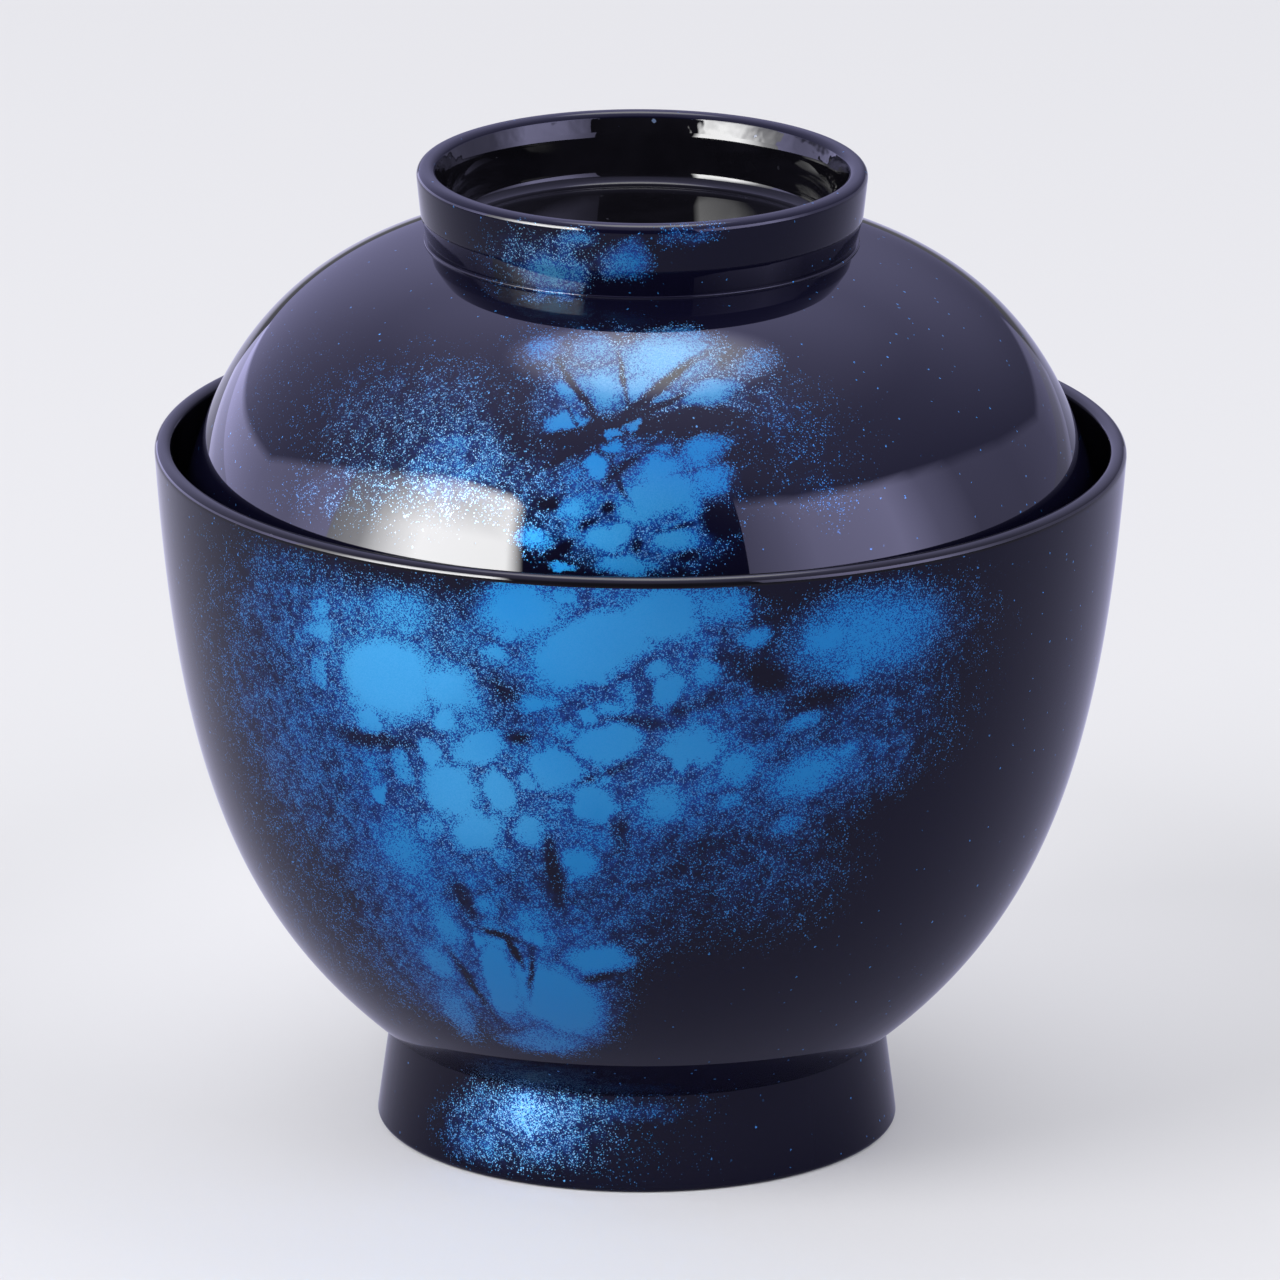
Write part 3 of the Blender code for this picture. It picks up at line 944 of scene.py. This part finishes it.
# Painted highlight on the lid: at its top under the top lamp, on its left and on the knob's left.
LID_PAINTED_HIGHLIGHTS = ellipse_table(
    (3.0, 90.0, 17.0, 9.0, 0, 1.2, 0.3), (-1.0, 77.0, 14.0, 8.0, 0, 0.5, 0.2),
    (-32.0, 80.0, 20.0, 16.0, 0, 0.9, 0.3), (-24.0, 98.0, 10.0, 6.0, 0, 1.1, 0.3),
)


def facing(azimuth: float, elevation: float, distance: float, target: Vector) -> Matrix:
    """Where something stands that looks at a target along its own -Z.

    Args:
        azimuth: Degrees about the target from the front, positive towards +X.
        elevation: Degrees above the target.
        distance: Metres from the target.
        target: What it looks at.

    Returns:
        Its matrix.
    """
    turn, rise = math.radians(azimuth), math.radians(elevation)
    out = Vector((math.sin(turn) * math.cos(rise), -math.cos(turn) * math.cos(rise), math.sin(rise)))
    matrix = out.to_track_quat("Z", "Y").to_matrix().to_4x4()
    matrix.translation = target + out * distance
    return matrix


@dataclass(frozen=True)
class Reflector:
    """A curved strip round the studio that only the gloss shows.

    Each post gives its lower end's azimuth and elevation, its upper end's, the strip's brightness there
    and the share of it that is left near the top.
    """

    name: str
    posts: tuple[tuple[float, ...], ...]
    tint: Colour = (1.0, 1.0, 1.0)
    middle: float = 0.45
    fade: float = 0.12
    distance: float = 0.8

    def build(self, target: Vector) -> bpy.types.Object:
        """Stands the strip in the studio.

        Args:
            target: What it stands round.

        Returns:
            The strip.
        """
        points: list[Vector] = []
        levels: list[float] = []
        for low_azimuth, low, high_azimuth, high, level, left in self.posts:
            rows = ((0.0, level), (self.middle, level), (1.0 - self.fade, left * level), (1.0, 0.0))
            for share, strength in rows:
                azimuth = low_azimuth + share * (high_azimuth - low_azimuth)
                elevation = low + share * (high - low)
                points.append(facing(azimuth, elevation, self.distance, target).translation)
                levels.append(strength)
        faces = []
        tall = len(points) // len(self.posts)
        for post in range(len(self.posts) - 1):
            for row in range(tall - 1):
                corner = tall * post + row
                faces.append((corner, corner + tall, corner + tall + 1, corner + 1))
        mesh = bpy.data.meshes.new(self.name)
        mesh.from_pydata(points, [], faces)
        mesh.attributes.new("level", "FLOAT", "POINT").data.foreach_set("value", levels)
        mesh.materials.append(self.material())
        strip = add_object(self.name, mesh)
        strip.visible_camera = False
        strip.visible_diffuse = False
        strip.visible_shadow = False
        return strip

    def material(self) -> bpy.types.Material:
        """Light of the strip's own brightness, see-through where that fades.

        Returns:
            The material.
        """
        material, graph = new_material(self.name)
        level = graph.node("ShaderNodeAttribute", {}, attribute_name="level").outputs["Fac"]
        light = graph.node("ShaderNodeEmission", {"Color": (*self.tint, 1), "Strength": level})
        clear = graph.node("ShaderNodeBsdfTransparent", {})
        graph.end(graph.node("ShaderNodeAddShader", {0: light.outputs[0], 1: clear.outputs[0]}))
        return material


@dataclass(frozen=True)
class Lamp:
    """A soft lamp that lights without showing in the gloss."""

    name: str
    azimuth: float
    elevation: float
    size: float
    power: float
    distance: float = 1.2

    def build(self, target: Vector) -> bpy.types.Object:
        """Hangs the lamp in the studio.

        Args:
            target: What it lights.

        Returns:
            The lamp.
        """
        light = bpy.data.lights.new(self.name, "AREA")
        light.shape = "DISK"
        light.size = self.size
        light.energy = self.power
        lamp = add_object(self.name, light)
        lamp.matrix_world = facing(self.azimuth, self.elevation, self.distance, target)
        lamp.visible_glossy = False
        return lamp


@dataclass
class Studio:
    """Floor, reflectors, lamps, sky and camera, in metres.

    The gloss colours and the gloss sky are what the lacquer mirrors. In the sky, a Pair or a Step runs
    along one part of the direction, or along its nearness to the top lamp.
    """

    aim_height: float = 0.06
    # Painted light: the floor is lighter round the bowl, against the bowl's shade, and fades out to the
    # plain floor colour.
    painted_floor_light: Colour = (0.88, 0.88, 0.915)
    floor_colour: Colour = (0.70, 0.70, 0.725)
    floor_turn: Pair = (0.03, 0.095)
    floor_centre: tuple[float, float, float] = (0.0, 0.036, 0.0)
    # What the lacquer mirrors of the floor: a painted violet sheen, and painted shade that darkens the
    # right, where the bowl's shadow lies.
    gloss_left: Colour = (0.63, 0.62, 0.82)
    gloss_right: Colour = (0.47, 0.465, 0.675)
    gloss_turn: Pair = (-0.10, 0.15)
    # Painted shade: the floor darkens far from the middle, where the pool of light ends.
    painted_floor_shade: Colour = (0.20, 0.20, 0.21)
    floor_pool: Pair = (0.65, 1.3)
    floor_roughness: float = 0.6
    floor_half: float = 6.0
    floor_drop: float = 0.00005
    sky: Colour = (0.98, 0.98, 1.0)
    gloss_sky: Colour = (0.90, 0.88, 1.50)
    sky_turn: Step = (-0.7, 0.7, 1.12, 0.85)
    low_sky: Step = (-0.6, 0.35, 0.95, 0.2)
    dome: float = 1.65
    dome_rise: Pair = (0.0, 0.85)
    front_turn: Pair = (-0.5, -0.82)
    front_top: Pair = (0.85, 0.6)
    top_lamp: Pair = (178.0, 77.0)
    top_glow: float = 10.0
    glow_edge: Pair = (0.935, 0.993)
    top_halo: float = 1.0
    halo_edge: Pair = (0.72, 0.96)
    lens: float = 480.5
    sensor: float = 36.0
    sight: float = 50.0
    camera_place: tuple[float, float, float] = (0.0, -1.6971, 0.5668)
    camera_pitch: float = 73.107
    camera_roll: float = 0.33
    shift: float = 0.0004
    reflectors: tuple[Reflector, ...] = (
        Reflector(
            "left_reflector",
            (
                (-28.4, 12.0, -32.8, 38.0, 0.0, 1.0),
                (-33.0, 12.0, -37.5, 38.5, 72.0, 0.85),
                (-57.0, 9.0, -60.0, 38.0, 72.0, 0.42),
                (-64.0, 8.0, -66.0, 36.5, 53.0, 0.36),
                (-70.0, 7.0, -71.0, 34.5, 34.0, 0.4),
                (-75.0, 6.0, -75.0, 33.0, 16.0, 0.55),
                (-85.0, 4.0, -85.0, 28.0, 7.5, 0.8),
            ),
        ),
        Reflector(
            "left_tail",
            (
                (-85.0, 4.0, -85.0, 28.0, 7.5, 0.8),
                (-100.0, 0.0, -100.0, 21.0, 3.2, 1.0),
                (-115.0, -3.0, -115.0, 13.0, 2.2, 1.0),
                (-136.0, -5.0, -136.0, 8.0, 1.8, 1.0),
                (-160.0, -5.0, -160.0, 2.0, 1.2, 1.0),
            ),
            tint=(1.0, 0.97, 1.6),
        ),
        Reflector(
            "right_reflector",
            (
                (27.5, 8.0, 27.5, 39.5, 4.0, 1.0),
                (37.0, 6.0, 38.0, 38.5, 6.0, 1.0),
                (46.0, 5.0, 46.0, 36.5, 8.5, 1.0),
                (70.0, 5.0, 70.0, 32.5, 10.0, 1.0),
                (82.0, 2.0, 82.0, 30.0, 4.5, 1.0),
                (95.0, 0.0, 95.0, 26.0, 1.6, 1.0),
                (115.0, -3.0, 115.0, 18.0, 0.8, 1.0),
                (136.0, -5.0, 136.0, 8.0, 0.4, 1.0),
                (160.0, -5.0, 160.0, 4.0, 0.3, 1.0),
            ),
            tint=(1.0, 0.97, 1.6),
        ),
    )
    lamps: tuple[Lamp, ...] = (
        Lamp("key_lamp", -50.0, 40.0, 0.7, 5.6),
        Lamp("fill_lamp", 55.0, 35.0, 0.8, 2.4),
    )

    def build(self) -> None:
        """Sets up everything round the object."""
        bpy.context.scene.view_settings.view_transform = "Standard"
        self.build_floor()
        self.build_sky()
        target = Vector((0, 0, self.aim_height))
        for item in (*self.reflectors, *self.lamps):
            item.build(target)
            log.info("studio: %s", item.name)
        self.build_camera()

    def build_floor(self) -> None:
        """Lays the pale floor just under the foot ring, with painted light round the bowl, painted
        shade far away, and painted shade on the right of what the lacquer mirrors.
        """
        half = self.floor_half
        corners = [(-half, -half, 0), (half, -half, 0), (half, half, 0), (-half, half, 0)]
        mesh = bpy.data.meshes.new("floor")
        mesh.from_pydata(corners, [], [(0, 1, 2, 3)])
        floor = add_object("floor", mesh)
        floor.location.z = -self.floor_drop
        material, graph = new_material("floor")
        place = graph.node("ShaderNodeTexCoord", {}).outputs["Object"]
        reach = graph.measure("LENGTH", place)
        side = graph.node("ShaderNodeSeparateXYZ", {0: place}).outputs[0]
        # Painted sheen and painted shade in what the lacquer mirrors: violet, and darker on the right.
        mirrored = graph.blend(graph.ramp(side, *self.gloss_turn), self.gloss_left, self.gloss_right)
        gloss = graph.node("ShaderNodeLightPath", {}).outputs["Is Glossy Ray"]
        away = graph.measure("LENGTH", graph.vector("SUBTRACT", place, self.floor_centre))
        # Painted light round the bowl.
        seen = graph.blend(graph.ramp(away, *self.floor_turn), self.painted_floor_light, self.floor_colour)
        near = graph.blend(gloss, seen, mirrored)
        # Painted shade far from the middle.
        colour = graph.blend(graph.ramp(reach, *self.floor_pool), near, self.painted_floor_shade)
        inputs = {"Base Color": colour, "Roughness": self.floor_roughness, "Specular IOR Level": 0.0}
        graph.end(graph.node("ShaderNodeBsdfPrincipled", inputs))
        mesh.materials.append(material)

    def build_sky(self) -> None:
        """Fills the studio with soft light.

        The gloss sees a violet dome instead, which is dark in front, dim low down, dimmer still on the
        right, and has a round white lamp behind its top.
        """
        world = bpy.data.worlds.new("studio")
        world.use_nodes = True
        graph = Graph(world.node_tree)
        way = graph.node("ShaderNodeTexCoord", {}).outputs["Generated"]
        parts = graph.node("ShaderNodeSeparateXYZ", {0: way})
        side, depth, height = parts.outputs
        low = graph.ramp(side, *self.low_sky)
        dome = graph.ramp(height, *self.dome_rise, low, self.dome)
        under_top = graph.ramp(height, *self.front_top)
        front = graph.product(graph.ramp(depth, *self.front_turn), under_top)
        dome = graph.product(dome, graph.math("SUBTRACT", 1.0, front))
        lamp = facing(*self.top_lamp, 1.0, Vector()).translation
        near = graph.measure("DOT_PRODUCT", way, lamp)
        glow = graph.ramp(near, *self.glow_edge)
        halo = graph.ramp(near, *self.halo_edge)
        dome = graph.math("ADD", dome, graph.product(halo, self.top_halo))
        dome = graph.math("ADD", dome, graph.product(glow, self.top_glow))
        gloss = graph.node("ShaderNodeLightPath", {}).outputs["Is Glossy Ray"]
        soft = graph.ramp(depth, *self.sky_turn)
        level = graph.node("ShaderNodeMix", {0: gloss, 2: soft, 3: dome}).outputs[0]
        tint = graph.blend(gloss, self.sky, graph.blend(glow, self.gloss_sky, self.sky))
        graph.end(graph.node("ShaderNodeBackground", {"Color": tint, "Strength": level}), "World")
        bpy.context.scene.world = world

    def build_camera(self) -> None:
        """Sets the camera where the picture was taken from."""
        data = bpy.data.cameras.new("camera")
        data.lens = self.lens
        data.sensor_width = self.sensor
        data.sensor_fit = "HORIZONTAL"
        data.shift_x = self.shift
        data.clip_end = self.sight
        camera = add_object("camera", data)
        pitch = Matrix.Rotation(math.radians(self.camera_pitch), 4, "X")
        roll = Matrix.Rotation(math.radians(self.camera_roll), 4, "Z")
        camera.matrix_world = Matrix.Translation(self.camera_place) @ pitch @ roll
        bpy.context.scene.camera = camera


def main() -> None:
    """Builds the bowl, the lid and the studio."""
    logging.basicConfig(level=logging.INFO, format="%(message)s")
    bowl, lid = Bowl(), Lid()
    plain = PlainLacquer().material()
    brushed = ClearCoat(ripple_size=3.0, ripple_height=0.14, ripple_detail=2.0)
    hollow = PlainLacquer(
        "ring_inside_lacquer", fleck=(0.10, 0.14, 0.24), flecks=0.004, coat=brushed
    ).material()
    mottled = {
        bowl.node: MottledLacquer(
            "bowl_mottled_lacquer", BOWL_CLOUDS, BOWL_FLOODS, BOWL_STROKES, BOWL_PAINTED_HIGHLIGHTS
        ),
        lid.node: MottledLacquer(
            "lid_mottled_lacquer",
            LID_CLOUDS,
            LID_FLOODS,
            LID_STROKES,
            LID_PAINTED_HIGHLIGHTS,
            deep=(0.0050, 0.1250, 0.3200),
            # Painted highlight: the lid's lighter powder and whiter specks where light falls.
            light=(0.0280, 0.1600, 0.3000),
            painted_glint=(0.2400, 0.4200, 0.6200),
            metal=0.18,
        ),
    }
    for part in (bowl, lid):
        piece = part.build()
        outside = mottled[part.node].material(part)
        part.dress(piece, {Zone.MOTTLED: outside, Zone.PLAIN: plain, Zone.HOLLOW: hollow})
        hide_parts(part.node)
        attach(piece, part.node)
        log.info("piece: %s, %d faces", piece.name, len(piece.data.polygons))
    Studio().build()


if __name__ == "__main__":
    main()
